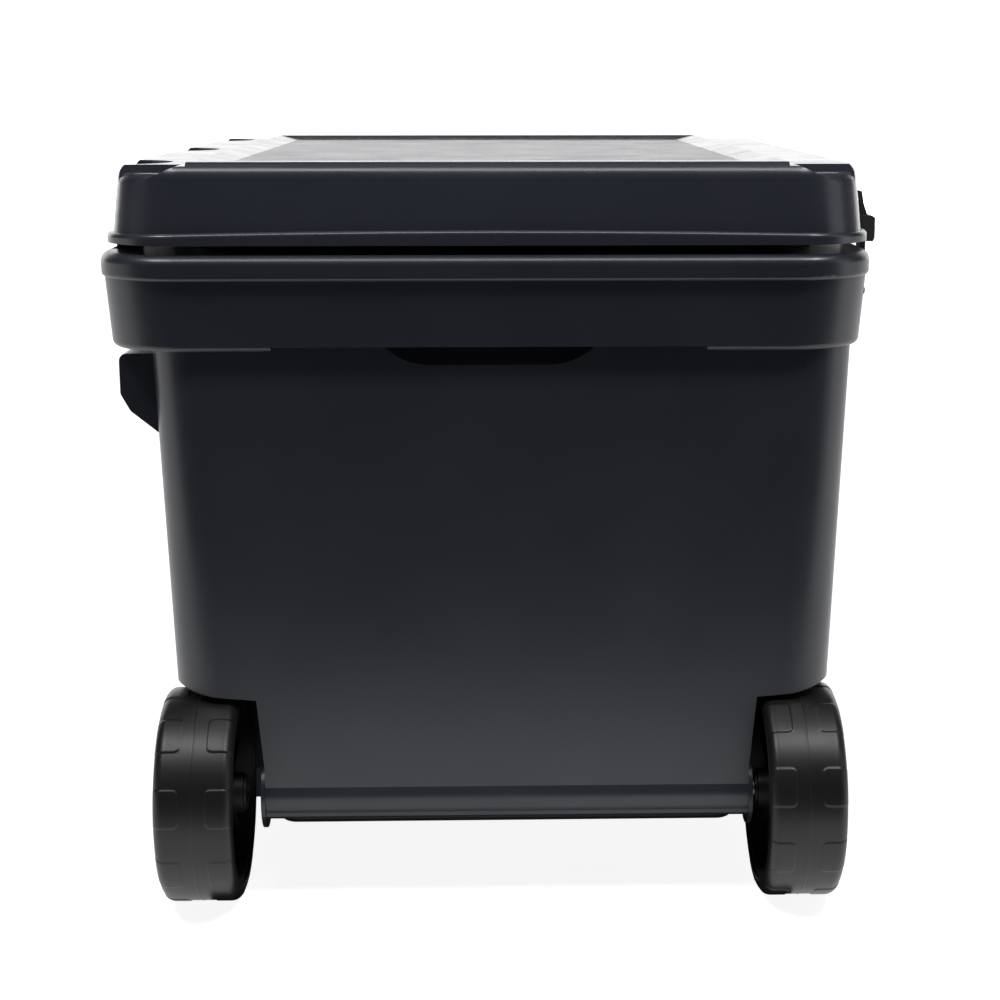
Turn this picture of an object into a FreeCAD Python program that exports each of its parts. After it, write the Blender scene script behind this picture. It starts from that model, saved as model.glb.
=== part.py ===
import FreeCAD, Part

import math
import os
import re

# A wheeled picnic cooler. X is the width (+X is the latch side, -X the hinge side), Y is the
# length (the wheels are at -Y, the tow handle at +Y) and Z is up from the ground at z = 0.
# X positions in this file are measured from the lid's centre line, which lies at lid_mid_x, so
# that the origin is under the middle of the whole cooler. All sizes are in millimetres.

DIMENSIONS = {
    # lid
    "lid_mid_x": -6.55,
    "flange_half_x": 237.5,
    "flange_half_y": 289,
    "flange_low": 431.5,
    "flange_high": 440.6,
    "flange_bow_r": 9400,
    "lid_draft": 5,
    "lid_inset": 3,
    "lid_top": 481,
    "rail_top": 478.5,
    "ledge_top": 474,
    "panel_top": 477.5,
    "lip_half_x": 183,
    "ledge_half_x": 199,
    "pocket_x": -217.5,
    "pocket_half": 23,
    "scallop_x": -233,
    "scallop_r": 33,
    "scallop_low": 462,
    "ledge_y": 253,
    "panel_half_x": 164,
    "panel_half_y": 258,
    "lid_corner": 45,
    "lid_edge": 11,
    "ledge_edge": 7,
    "lid_wall": 3,
    # tub
    "tub_mid": 10.3,
    "wall_mid": 8.3,
    "rim_mid": -1.3,
    "tub_top_x": 221.4,
    "tub_top_y": 279.3,
    "tub_low_x": 209.9,
    "tub_low_y": 274,
    "tub_top": 390,
    "tub_bottom": 24,
    "tub_corner": 33,
    "shell_wall": 3.2,
    "bead_half_x": 240.9,
    "bead_half_y": 293,
    "bead_low": 410.2,
    "rim_top": 425.7,
    "skirt_top_x": 239.2,
    "skirt_top_y": 289.7,
    "skirt_low_x": 236.4,
    "skirt_low_y": 285.7,
    "skirt_low": 366.5,
    "skirt_wall": 4.2,
    "skirt_raised": 3,
    "raised_half_x": 134,
    "hold_half_x": 77,
    "hold_depth": 24,
    "hold_top": 404,
    "hold_r": 45,
    "hold_z": 397,
    "hold_bar": 37,
    "hold_lip": 2,
    "deck": 6.2,
    "brim": 8,
    "belly": 60,
    "belly_end": -172,
    "belly_slope": 26,
    "pan_depth": 19.5,
    "pan_y": -207.5,
    "pan_half_y": 33.5,
    "foot_x": 150,
    "foot_y": 225,
    "foot_half_x": 40,
    "foot_half_y": 26,
    # wheels and axle
    "axle_y": -256,
    "axle_z": 70,
    "axle_r": 6,
    "axle_play": 4,
    "wheel_r": 70,
    "wheel_width": 49.7,
    "wheel_inner": 169.3,
    "well_half_x": 157.6,
    "well_top_half_x": 162.7,
    "well_slope_low": 94,
    "well_slope_high": 155,
    "well_r": 72.2,
    "well_flare": 8,
    "tunnel_y": -259.5,
    "tunnel_z": 71.5,
    "tunnel_r": 17.5,
    "boss_r": 23,
    "boss_thick": 2.6,
    "washer_r": 11,
    "axle_cap_r": 10.5,
    "tyre_inner_r": 60.5,
    "rim_inner_r": 56.5,
    "hub_r": 13,
    "rib_count": 12,
    "tyre_shoulder": 7,
    # inner tub
    "mouth_half_x": 186,
    "mouth_half_y": 246,
    "floor_half_x": 176,
    "floor_half_y": 240,
    "floor_top": 68,
    "step_top": 160,
    "step_y": -165,
    "liner_wall": 2.5,
    # hinges
    "hinge_pitch": 217,
    "hinge_x": -228,
    "hinge_z": 440,
    "barrel_r": 6,
    "hinge_pin_r": 2.5,
    "hinge_half": 20,
    "knuckle_half": 8,
    "knuckle_gap": 0.5,
    "leaf_back": -238.2,
    "leaf_front": -223.8,
    "leaf_low": 421.6,
    "leaf_thick": 2.6,
    "strap_thick": 3,
    "strap_height": 24,
    # latches
    "latch_y": 176,
    "latch_pin_x": 244.9,
    "latch_pin_z": 393,
    "latch_reach": 253.3,
    "keeper_gap": 10.1,
    "keeper_back": 237.9,
    "lug_back": 237.4,
    "latch_pin_r": 2,
    # tow handle
    "bow_y": 303,
    "bow_z": 338,
    "bow_half_x": 150,
    "bow_drop": 205,
    "end_reach": 326,
    "grip_r": 15,
    "arm_r": 8.5,
    "bend_r": 30,
    "eye_r": 13,
    "grip_half": 105,
    "handle_pin_r": 4,
    "bracket_face": 278.9,
    # drain
    "drain_z": 83,
    "drain_bore_r": 8,
    "drain_face": 275.9,
    "drain_cap_r": 16,
    "running_gap": 0.05,
}

FAR = 400

doc = FreeCAD.newDocument("cooler_on_wheels")
sizes = doc.addObject("Spreadsheet::Sheet", "Sizes")
nodes = []


def fill_sheet():
    """Write every driving dimension into the sheet, with its name as alias."""
    for row, (alias, value) in enumerate(DIMENSIONS.items(), start=1):
        sizes.set("A%d" % row, alias)
        sizes.set("B%d" % row, str(value))
        sizes.setAlias("B%d" % row, alias)
    doc.recompute()


def read(alias):
    """A dimension's value, for the shapes that code works out."""
    return float(sizes.get(alias))


def formula(text):
    """Turn the dimension names in text into references to the sheet."""
    def swap(match):
        word = match.group(0)
        return "Sizes." + word if word in DIMENSIONS else word
    return re.sub(r"[a-z][a-z_0-9]*", swap, str(text))


def bind(item, prop, text):
    item.setExpression(prop, formula(text))


def place(item, x, y, z, axis=FreeCAD.Vector(0, 0, 1), angle=0):
    """Put an item at (x, y, z), x being measured from the lid's centre line."""
    item.Placement = FreeCAD.Placement(FreeCAD.Vector(), FreeCAD.Rotation(axis, angle))
    bind(item, "Placement.Base.x", "lid_mid_x + (%s)" % x)
    bind(item, "Placement.Base.y", y)
    bind(item, "Placement.Base.z", z)
    return item


def node(name, item):
    """Name a finished sub-part."""
    item.Label = name
    nodes.append(item)
    return item


def block(name, x, y, z):
    """A box between the two limits given for each axis."""
    item = doc.addObject("Part::Box", name)
    for prop, (low, high) in (("Length", x), ("Width", y), ("Height", z)):
        bind(item, prop, "(%s) - (%s)" % (high, low))
    return place(item, x[0], y[0], z[0])


def wedge(name, low, high, z):
    """A tapered block: low and high are its (x0, x1, y0, y1) at the two heights z."""
    item = doc.addObject("Part::Wedge", name)
    item.Xmin, item.Ymin, item.Zmin, item.X2min, item.Z2min = 0, 0, 0, 0, 0
    values = {
        "Xmin": low[0], "Xmax": low[1], "Zmin": "-(%s)" % low[3], "Zmax": "-(%s)" % low[2],
        "X2min": high[0], "X2max": high[1], "Z2min": "-(%s)" % high[3], "Z2max": "-(%s)" % high[2],
        "Ymax": "(%s) - (%s)" % (z[1], z[0]),
    }
    for prop, text in values.items():
        bind(item, prop, text)
    return place(item, "0", "0", z[0], FreeCAD.Vector(1, 0, 0), 90)


def rounded(name, base, pick, radius):
    """Round the edges of base that pick(edge) chooses."""
    doc.recompute()
    item = doc.addObject("Part::Fillet", name)
    item.Base = base
    item.Edges = [(index, radius, radius) for index, edge in enumerate(base.Shape.Edges, start=1)
                  if pick(edge)]
    return item


def upright(edge):
    ends = [vertex.Point.z for vertex in edge.Vertexes]
    return len(ends) == 2 and abs(ends[0] - ends[1]) > 1


def level_at(height):
    """Choose the edges that lie in the horizontal plane at this height."""
    def pick(edge):
        return abs(edge.BoundBox.ZMin - height) < 0.01 and abs(edge.BoundBox.ZMax - height) < 0.01
    return pick


def frustum(name, mid, low, high, z, corner, edges=()):
    """A block with round upright corners. low and high are its half sizes (x, y) at the two
    heights z; edges lists (height, radius) for the level edges to round."""
    low_x, low_y, high_x, high_y = ["(%s)" % text for text in low + high]
    base = wedge(name + "_core",
                 (mid + " - " + low_x, mid + " + " + low_x, "-" + low_y, low_y),
                 (mid + " - " + high_x, mid + " + " + high_x, "-" + high_y, high_y), z)
    item = rounded(name, base, upright, corner)
    for count, (height, radius) in enumerate(edges):
        item = rounded("%s_edge_%d" % (name, count), item, level_at(height), radius)
    return item


def rod(name, axis, radius, span, first, second):
    """A cylinder along an axis. span is its two ends; first and second are the other two
    coordinates of its centre line, in the order x, y, z."""
    item = doc.addObject("Part::Cylinder", name)
    bind(item, "Radius", radius)
    bind(item, "Height", "(%s) - (%s)" % (span[1], span[0]))
    if axis == "x":
        return place(item, span[0], first, second, FreeCAD.Vector(0, 1, 0), 90)
    if axis == "y":
        return place(item, first, span[0], second, FreeCAD.Vector(1, 0, 0), -90)
    return place(item, first, second, span[0])


def fuse(name, *items):
    if len(items) == 1:
        return items[0]
    item = doc.addObject("Part::MultiFuse", name)
    item.Shapes = list(items)
    item.Refine = True
    return item


def cut(name, base, *tools):
    item = doc.addObject("Part::Cut", name)
    item.Base = base
    item.Tool = fuse(name + "_tools", *tools)
    item.Refine = True
    return item


def common(name, *items):
    item = doc.addObject("Part::MultiCommon", name)
    item.Shapes = list(items)
    return item


def shape(name, solid):
    """A piece whose solid is worked out in code, in the lid's own X."""
    item = doc.addObject("Part::Feature", name)
    item.Shape = solid
    item.Placement = FreeCAD.Placement(FreeCAD.Vector(read("lid_mid_x"), 0, 0), FreeCAD.Rotation())
    return item


def prism(points, y_low, y_high):
    """A solid from an outline of (x, z) points, pushed along Y."""
    corners = [FreeCAD.Vector(x, y_low, z) for x, z in points]
    face = Part.Face(Part.makePolygon(corners + corners[:1]))
    return face.extrude(FreeCAD.Vector(0, y_high - y_low, 0))


def soften(solid, axis, radius):
    """Round the edges of a solid that run along an axis vector."""
    chosen = [edge for edge in solid.Edges
              if len(edge.Vertexes) == 2
              and (edge.Vertexes[1].Point - edge.Vertexes[0].Point).cross(axis).Length < 1e-6]
    return solid.makeFillet(radius, chosen)


def ring(radius, bore, length, centre, axis):
    """A round tube in code, from centre along axis."""
    outer = Part.makeCylinder(radius, length, centre, axis)
    return outer.cut(Part.makeCylinder(bore, length, centre, axis))


X_AXIS = FreeCAD.Vector(1, 0, 0)
Y_AXIS = FreeCAD.Vector(0, 1, 0)
Z_AXIS = FreeCAD.Vector(0, 0, 1)
SCREW_HOLE = 2.1


# ---------------------------------------------------------------- lid

def hinge_stations():
    """The three hinges' places along Y, as (name, formula)."""
    return (("near", "-hinge_pitch"), ("middle", "0"), ("far", "hinge_pitch"))


def hinge_pockets(name, grow):
    """Pockets in the lid's back wall that hold the hinges, wider by grow on every side."""
    pockets = []
    for station, middle in hinge_stations():
        pockets.append(block("%s_%s" % (name, station), ("-%d" % FAR, "pocket_x + (%s)" % grow),
                             ("%s - pocket_half - (%s)" % (middle, grow),
                              "%s + pocket_half + (%s)" % (middle, grow)),
                             ("flange_low - 5", "lid_top + 5")))
        pockets.append(rod("%s_scallop_%s" % (name, station), "z", "scallop_r + (%s)" % grow,
                           ("scallop_low - (%s)" % grow, "lid_top + 5"), "scallop_x", middle))
    return pockets


def lid_shell():
    """Outer lid: a drafted block with a flange, raised end lips, flat side rails, low corner
    ledges, a recessed top panel and hinge pockets along the back."""
    slab = frustum("flange_slab", "0", ("flange_half_x", "flange_half_y"),
                   ("flange_half_x", "flange_half_y"), ("flange_low", "flange_high + 2"), 47)
    bow = rod("flange_bow", "y", "flange_bow_r", ("-%d" % FAR, "%d" % FAR), "0",
              "flange_high - flange_bow_r")
    flange = rounded("lid_flange", common("flange_bowed", slab, bow), on_bow, 2.6)
    low = ("flange_half_x - lid_inset", "flange_half_y - lid_inset")
    high = ("flange_half_x - lid_inset - lid_draft", "flange_half_y - lid_inset - lid_draft")
    block_up = frustum("lid_block", "0", low, high, ("flange_low", "lid_top"), read("lid_corner"))
    walls = rounded("lid_walls", block_up, level_at(read("lid_top")), read("lid_edge"))
    above = block("above_ledges", ("-%d" % FAR, "%d" % FAR), ("-%d" % FAR, "%d" % FAR),
                  ("ledge_top", "lid_top + 5"))
    base = rounded("lid_base", cut("lid_lower", block_up, above), level_at(read("ledge_top")),
                   read("ledge_edge"))
    corners = [ledge_cut(x_sign, y_sign) for x_sign in (-1, 1) for y_sign in (-1, 1)]
    raised = cut("lid_raised", walls, *corners)
    tools = []
    for side, (x_low, x_high) in (("back", ("-%d" % FAR, "-lip_half_x")),
                                  ("front", ("lip_half_x", "%d" % FAR))):
        tools.append(block("rail_cut_" + side, (x_low, x_high), ("-%d" % FAR, "%d" % FAR),
                           ("rail_top", "lid_top + 5")))
    tools.append(wedge("panel_recess", ("-panel_half_x", "panel_half_x", "-panel_half_y", "panel_half_y"),
                       ("-lip_half_x - 1", "lip_half_x + 1", "-panel_half_y - 3", "panel_half_y + 3"),
                       ("panel_top", "lid_top + 0.4")))
    tools += hinge_pockets("hinge_pocket", "0")
    outside = cut("lid_outside", fuse("lid_solid", flange, base, raised), *tools)
    node("lid_shell", cut("lid_shell", outside, lid_room("lid_void", "lid_wall", "flange_low - 1")))


def on_bow(edge):
    """Choose the flange's upper edges, which follow its slight arch."""
    return edge.BoundBox.ZMin > read("flange_high") - 5


def ledge_cut(x_sign, y_sign):
    """The corner ledge's cut: its sides slope up to the lip and to the rail."""
    def span(low, high, sign):
        return (low, high) if sign > 0 else ("-(%s)" % high, "-(%s)" % low)
    name = "ledge_cut_%s%s" % ("back" if x_sign < 0 else "front", "_near" if y_sign < 0 else "_far")
    return wedge(name,
                 span("ledge_half_x + 23", "%d" % FAR, x_sign) + span("ledge_y + 3", "%d" % FAR, y_sign),
                 span("ledge_half_x - 18", "%d" % FAR, x_sign) + span("ledge_y - 2", "%d" % FAR, y_sign),
                 ("ledge_top - 10", "lid_top + 1"))


def lid_room(name, inset, bottom):
    """The space inside the lid, inset from its outside, clear of the hinge pockets."""
    x_half = "flange_half_x - lid_inset - (%s)" % inset
    y_half = "flange_half_y - lid_inset - (%s)" % inset
    room = frustum(name + "_block", "0", (x_half, y_half),
                   (x_half + " - lid_draft", y_half + " - lid_draft"),
                   (bottom, "ledge_top - (%s)" % inset), read("lid_corner") - 3)
    return cut(name, room, *hinge_pockets(name + "_pocket", inset))


def lid_inside():
    """Inner panel with the plug that fills the tub's mouth, its foam and its seal."""
    plate = frustum("liner_plate", "0", ("flange_half_x - 7", "flange_half_y - 7"),
                    ("flange_half_x - 7", "flange_half_y - 7"), ("flange_low", "flange_low + 3"), 40)
    pockets = [block("plate_pocket_" + station, ("-%d" % FAR, "-213"),
                     (middle + " - 27", middle + " + 27"), ("flange_low - 1", "flange_low + 4"))
               for station, middle in hinge_stations()]
    plug = frustum("plug", "tub_mid", ("mouth_half_x - 4", "mouth_half_y - 4"),
                   ("mouth_half_x - 2.5", "mouth_half_y - 2.5"), ("412", "flange_low + 3"), 24,
                   ((412, 5),))
    room = frustum("plug_room", "tub_mid", ("mouth_half_x - 7", "mouth_half_y - 7"),
                   ("mouth_half_x - 5.5", "mouth_half_y - 5.5"), ("415", "flange_low + 4"), 21)
    panel = cut("liner_panel", plate, *pockets)
    node("lid_liner", cut("lid_liner", fuse("liner_solid", panel, plug), room))
    plug_foam = frustum("plug_foam", "tub_mid", ("mouth_half_x - 7.4", "mouth_half_y - 7.4"),
                        ("mouth_half_x - 6", "mouth_half_y - 6"), ("415.4", "flange_low + 4"), 21)
    foam = lid_room("foam_room", "lid_wall + 0.8", "flange_low + 3.4")
    node("lid_foam", fuse("lid_foam", plug_foam, foam))
    outer = frustum("seal_outer", "tub_mid", ("mouth_half_x + 9", "mouth_half_y + 9"),
                    ("mouth_half_x + 10", "mouth_half_y + 10"), ("rim_top + 0.4", "flange_low"), 34)
    inner = frustum("seal_inner", "tub_mid", ("mouth_half_x + 4", "mouth_half_y + 4"),
                    ("mouth_half_x + 3", "mouth_half_y + 3"), ("rim_top", "flange_low + 1"), 28)
    node("lid_seal", cut("lid_seal", outer, inner))


# ---------------------------------------------------------------- tub

def well_tools(name, grow):
    """What the wheels and the axle take out of the tub, larger by grow on every side."""
    tools = []
    inner = "well_half_x - (%s)" % grow
    outer = "well_top_half_x - (%s)" % grow
    radius = "well_r + (%s)" % grow
    for side, x_low, x_high in (("left", "tub_mid - %d" % FAR, "tub_mid - (%s)" % inner),
                                ("right", "tub_mid + (%s)" % inner, "tub_mid + %d" % FAR)):
        arch = doc.addObject("Part::Cone", "%s_arch_%s" % (name, side))
        bind(arch, "Radius1", radius)
        bind(arch, "Radius2", radius + " + well_flare")
        bind(arch, "Height", "100 + (%s)" % grow)
        sign = -1 if side == "left" else 1
        place(arch, x_high if sign < 0 else x_low, "axle_y", "axle_z", Y_AXIS, sign * 90)
        gap = block("%s_gap_%s" % (name, side), (x_low, x_high),
                    ("-%d" % FAR, "axle_y + " + radius), ("-50", "axle_z"))
        keep = wedge("%s_keep_%s" % (name, side),
                     ("tub_mid - (%s)" % inner, "tub_mid + (%s)" % inner, "-%d" % FAR, "-150"),
                     ("tub_mid - (%s)" % outer, "tub_mid + (%s)" % outer, "-%d" % FAR, "-150"),
                     ("well_slope_low", "well_slope_high"))
        tools.append(cut("%s_well_%s" % (name, side), fuse("%s_hole_%s" % (name, side), arch, gap), keep))
    tools.append(wedge(name + "_belly",
                       ("-%d" % FAR, "%d" % FAR, "-%d" % FAR, "belly_end + belly_slope + %s" % grow),
                       ("-%d" % FAR, "%d" % FAR, "-%d" % FAR, "belly_end + %s" % grow),
                       ("tub_bottom - 1", "belly + %s" % grow)))
    return tools


def hold_tools(name, grow):
    """The hand-holds: round-ended scoops in both end walls, behind the skirt."""
    tools = []
    radius = "hold_r + (%s)" % grow
    for side, sign in (("near", "-"), ("far", "")):
        middle = "%s(tub_top_y - hold_depth + hold_r)" % sign
        parts = [rod("%s_scoop_%s" % (name, side), "x", radius, ("-hold_bar", "hold_bar"), middle, "hold_z")]
        for end, x in (("back", "-hold_bar"), ("front", "hold_bar")):
            ball = doc.addObject("Part::Sphere", "%s_ball_%s_%s" % (name, side, end))
            bind(ball, "Radius", radius)
            parts.append(place(ball, x, middle, "hold_z"))
        roof = block("%s_roof_%s" % (name, side), ("-%d" % FAR, "%d" % FAR), ("-%d" % FAR, "%d" % FAR),
                     ("hold_top + (%s)" % grow, "%d" % (2 * FAR)))
        tools.append(cut("%s_hold_%s" % (name, side), fuse("%s_capsule_%s" % (name, side), *parts), roof))
    return tools


def tub_walls(name, inset, z, corner):
    """The tub's tapered block, inset from the outside."""
    slope_x = "(tub_top_x - tub_low_x) / (tub_top - tub_bottom)"
    slope_y = "(tub_top_y - tub_low_y) / (tub_top - tub_bottom)"

    def half(side, height):
        return "tub_low_%s + %s * (%s - tub_bottom) - (%s)" % (
            side, slope_x if side == "x" else slope_y, height, inset)
    return frustum(name, "wall_mid", (half("x", z[0]), half("y", z[0])),
                   (half("x", z[1]), half("y", z[1])), z, corner)


def shell_room(name, inset, top):
    """The space inside the tub's shell, clear of wells, belly, tunnel and hand-holds."""
    room = tub_walls(name + "_block", inset, ("tub_bottom + " + inset, top),
                     read("tub_corner") - read("shell_wall"))
    tunnel = rod(name + "_tunnel", "x", "tunnel_r", ("tub_mid - 300", "tub_mid + 300"),
                 "tunnel_y", "tunnel_z")
    return cut(name, room, tunnel, *(well_tools(name, inset) + hold_tools(name, inset)))


def skirt():
    """The rim's bead and the skirt below it, hollow from below, with raised middles at the ends
    and ledges beside the hand-holds."""
    band = frustum("skirt_band", "rim_mid", ("skirt_low_x", "skirt_low_y"), ("skirt_top_x", "skirt_top_y"),
                   ("skirt_low", "bead_low + 2"), 48, ((read("skirt_low"), 4),))
    bead = frustum("bead", "rim_mid", ("bead_half_x", "bead_half_y"), ("bead_half_x", "bead_half_y"),
                   ("bead_low", "rim_top"), 51, ((read("bead_low"), 3), (read("rim_top"), 6)))
    channel = frustum("skirt_channel", "rim_mid", ("skirt_low_x - skirt_wall", "skirt_low_y - skirt_wall"),
                      ("skirt_top_x - skirt_wall", "skirt_top_y - skirt_wall"),
                      ("skirt_low - 2", "hold_top"), 44)
    lips = [block("hold_lip_" + side, ("-hold_half_x", "hold_half_x"), y, ("skirt_low - 2", "hold_top"))
            for side, y in (("near", ("-skirt_low_y + hold_lip", "-skirt_low_y + 20")),
                            ("far", ("skirt_low_y - 20", "skirt_low_y - hold_lip")))]
    raised = block("skirt_raised_cut", ("-raised_half_x", "raised_half_x"), ("-%d" % FAR, "%d" % FAR),
                   ("skirt_low - 3", "skirt_low + skirt_raised"))
    solid = cut("skirt_hollow", fuse("skirt_solid", band, bead), channel, raised, *lips)
    return [solid] + hold_ledges()


def hold_ledges():
    """Round-ended ledges that close the skirt's raised middles beside the hand-holds."""
    low, high = read("skirt_low") - 0.6, read("hold_top") + 1
    near, far = read("hold_half_x"), read("raised_half_x") + 8
    ledges = []
    for side, sign in (("near", -1), ("far", 1)):
        span = sorted((sign * (read("skirt_low_y") - 16), sign * (read("skirt_low_y") - 1.5)))
        for end, (x_low, x_high) in (("back", (-far, -near)), ("front", (near, far))):
            bar = prism(((x_low, low), (x_high, low), (x_high, high), (x_low, high)), *span)
            ledges.append(shape("hold_ledge_%s_%s" % (side, end), soften(bar, Y_AXIS, 6)))
    return ledges


def hinge_ribs():
    """Moulded ribs on the back wall under each hinge."""
    outline = ((-195, 360), (-235, 360), (-235, 334), (-229, 323), (-208, 306), (-195, 306))
    ribs = []
    for station, factor in (("near", -1), ("middle", 0), ("far", 1)):
        middle = factor * read("hinge_pitch")
        rib = soften(prism(outline, middle - 25, middle + 19), Y_AXIS, 5)
        ribs.append(shape("hinge_rib_" + station, rib))
    return ribs


def body_shell():
    """Outer tub, with everything that is moulded in one with it."""
    walls = tub_walls("tub_block", "0", ("tub_bottom", "hold_top + 1"), read("tub_corner"))
    neck = frustum("tub_neck", "rim_mid", ("skirt_low_x - 3", "skirt_low_y - 3"),
                   ("skirt_low_x - 3", "skirt_low_y - 3"), ("hold_top", "rim_top - 4"), 44)
    tub = cut("tub_cut", walls, *(well_tools("well", "0") + hold_tools("hold", "0")))
    tunnel = rod("axle_tunnel", "x", "tunnel_r", ("tub_mid - well_half_x", "tub_mid + well_half_x"),
                 "tunnel_y", "tunnel_z")
    outside = fuse("tub_outside", tub, neck, tunnel, *(skirt() + hinge_ribs()))
    tools = [shell_room("tub_room", "shell_wall", "rim_top - deck")]
    for name, grow, low, corner in (("liner_hole", "liner_wall + 0.6", "rim_top - deck - 1", 27),
                                    ("liner_seat", "brim + 0.3", "rim_top - 3", 30)):
        half = ("mouth_half_x + " + grow, "mouth_half_y + " + grow)
        tools.append(frustum(name, "tub_mid", half, half, (low, "rim_top + 1"), corner))
    tools.append(rod("axle_bore", "x", "axle_r + 0.2", ("-300", "330"), "axle_y", "axle_z"))
    tools.append(rod("drain_hole", "y", "drain_bore_r + 3.2", ("230", "300"), "tub_mid", "drain_z"))
    for station, middle in hinge_stations():
        tools.append(block("leaf_seat_" + station, ("leaf_back - 0.3", "leaf_front + 0.3"),
                           (middle + " - hinge_half - 0.3", middle + " + hinge_half + 0.3"),
                           ("leaf_low", "rim_top + 1")))
    node("body_shell", cut("body_shell", outside, *tools))


def liner_block(name, grow, bottom):
    """The inner tub's outer form, grown by grow, with its step over the wheels."""
    tub = frustum(name + "_block", "tub_mid", ("floor_half_x + %s" % grow, "floor_half_y + %s" % grow),
                  ("mouth_half_x + %s" % grow, "mouth_half_y + %s" % grow),
                  (bottom, "rim_top"), 27)
    step = block(name + "_step", ("-%d" % FAR, "%d" % FAR), ("-%d" % FAR, "step_y - (%s)" % grow),
                 ("0", "step_top - (%s)" % grow))
    return cut(name, tub, step)


def body_inside():
    """Inner tub and the foam between it and the shell."""
    outer = liner_block("liner_outer", "liner_wall", "floor_top - liner_wall")
    brim = frustum("liner_brim", "tub_mid", ("mouth_half_x + brim", "mouth_half_y + brim"),
                   ("mouth_half_x + brim", "mouth_half_y + brim"), ("rim_top - 3", "rim_top"), 30)
    cavity = liner_block("liner_cavity", "0", "floor_top")
    mouth = frustum("liner_mouth", "tub_mid", ("mouth_half_x", "mouth_half_y"),
                    ("mouth_half_x + 0.2", "mouth_half_y + 0.2"), ("rim_top - 5", "rim_top + 1"), 27)
    hole = rod("liner_drain_hole", "y", "drain_bore_r + 3.2", ("220", "300"), "tub_mid", "drain_z")
    node("body_liner", cut("body_liner", fuse("liner_body", outer, brim), cavity, mouth, hole))
    room = shell_room("foam_space", "shell_wall + 0.4", "rim_top - deck - 0.4")
    gap = liner_block("foam_gap", "liner_wall + 0.4", "floor_top - liner_wall - 0.4")
    hole = rod("foam_drain_hole", "y", "drain_bore_r + 3.6", ("220", "300"), "tub_mid", "drain_z")
    node("body_foam", cut("body_foam", room, gap, hole))


def base_parts():
    """Dark pan under the belly and the two feet at the handle end."""
    pan = frustum("pan_block", "tub_mid", ("well_half_x - 5", "pan_half_y - 2.5"),
                  ("well_half_x - 1.5", "pan_half_y"),
                  ("belly - pan_depth", "belly - 0.2"), 12, ((read("belly") - read("pan_depth"), 4),))
    room = frustum("pan_room", "tub_mid", ("well_half_x - 9", "pan_half_y - 6.5"),
                   ("well_half_x - 5.5", "pan_half_y - 4"),
                   ("belly - pan_depth + 3.5", "belly + 1"), 9)
    pan_solid = cut("pan_solid", pan, room)
    pan_solid.Placement = FreeCAD.Placement(FreeCAD.Vector(0, read("pan_y"), 0), FreeCAD.Rotation())
    node("belly_pan", pan_solid)
    feet = []
    for side, sign in (("left", "-"), ("right", "+")):
        base = "tub_mid %s foot_x" % sign
        foot = wedge("foot_core_" + side,
                     (base + " - foot_half_x + 6", base + " + foot_half_x - 6",
                      "foot_y - foot_half_y + 6", "foot_y + foot_half_y - 6"),
                     (base + " - foot_half_x", base + " + foot_half_x",
                      "foot_y - foot_half_y", "foot_y + foot_half_y"), ("0", "tub_bottom - 0.1"))
        foot = rounded("foot_corner_" + side, foot, upright, 12)
        feet.append(rounded("foot_" + side, foot, level_at(0), 4))
    node("feet", fuse("feet", *feet))


# ---------------------------------------------------------------- axle and wheels

def axle_parts():
    """Steel axle, its two bosses on the tub, the washers and the push-on caps."""
    mid = "tub_mid - axle_play"
    outer = "wheel_inner + wheel_width"
    axle = rod("axle_bar", "x", "axle_r", ("%s - %s - 5" % (mid, outer), "%s + %s + 5" % (mid, outer)),
               "axle_y", "axle_z")
    node("axle", rounded("axle_round", axle, lambda edge: len(edge.Vertexes) == 1, 1))
    centre = FreeCAD.Vector(0, read("axle_y"), read("axle_z"))
    hole_r = read("axle_r") + 0.2
    middle = read("tub_mid") - read("axle_play")
    bosses, washers, caps = [], [], []
    for sign in (-1, 1):
        out = X_AXIS * sign
        wall = read("tub_mid") + sign * read("well_half_x")
        bosses.append(ring(read("boss_r"), hole_r, read("boss_thick"), centre + X_AXIS * wall, out))
        face = middle + sign * (read("wheel_inner") - 2)
        washers.append(ring(read("washer_r"), hole_r, 1.6, centre + X_AXIS * face, out))
        end = centre + X_AXIS * (middle + sign * (read("wheel_inner") + read("wheel_width") + 0.4))
        cap = soften_rims(Part.makeCylinder(read("axle_cap_r"), 6.2, end, out), 1.8)
        caps.append(cap.cut(Part.makeCylinder(read("axle_r") + read("running_gap"), 4.7, end, out)))
    node("axle_bosses", shape("axle_bosses", Part.makeCompound(bosses)))
    node("axle_washers", shape("axle_washers", Part.makeCompound(washers)))
    node("axle_caps", shape("axle_caps", Part.makeCompound(caps)))


def soften_rims(solid, radius):
    """Round the full circles at both ends of a turned solid."""
    rims = [edge for edge in solid.Edges if edge.Closed and isinstance(edge.Curve, Part.Circle)]
    return solid.makeFillet(radius, rims)


def turned(profile, centre):
    """Turn a closed (x, radius) profile about the axle's line."""
    corners = [centre + FreeCAD.Vector(x, 0, radius) for x, radius in profile]
    face = Part.Face(Part.makePolygon(corners + corners[:1]))
    return face.revolve(centre, X_AXIS, 360)


def tyre_solid(centre):
    """A tyre with round shoulders."""
    width, radius, inner = read("wheel_width"), read("wheel_r"), read("tyre_inner_r")
    outline = turned(((0, inner), (width, inner), (width, radius), (0, radius)), centre)
    rims = [edge for edge in outline.Edges
            if isinstance(edge.Curve, Part.Circle) and abs(edge.Curve.Radius - radius) < 0.01]
    return outline.makeFillet(read("tyre_shoulder"), rims)


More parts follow.
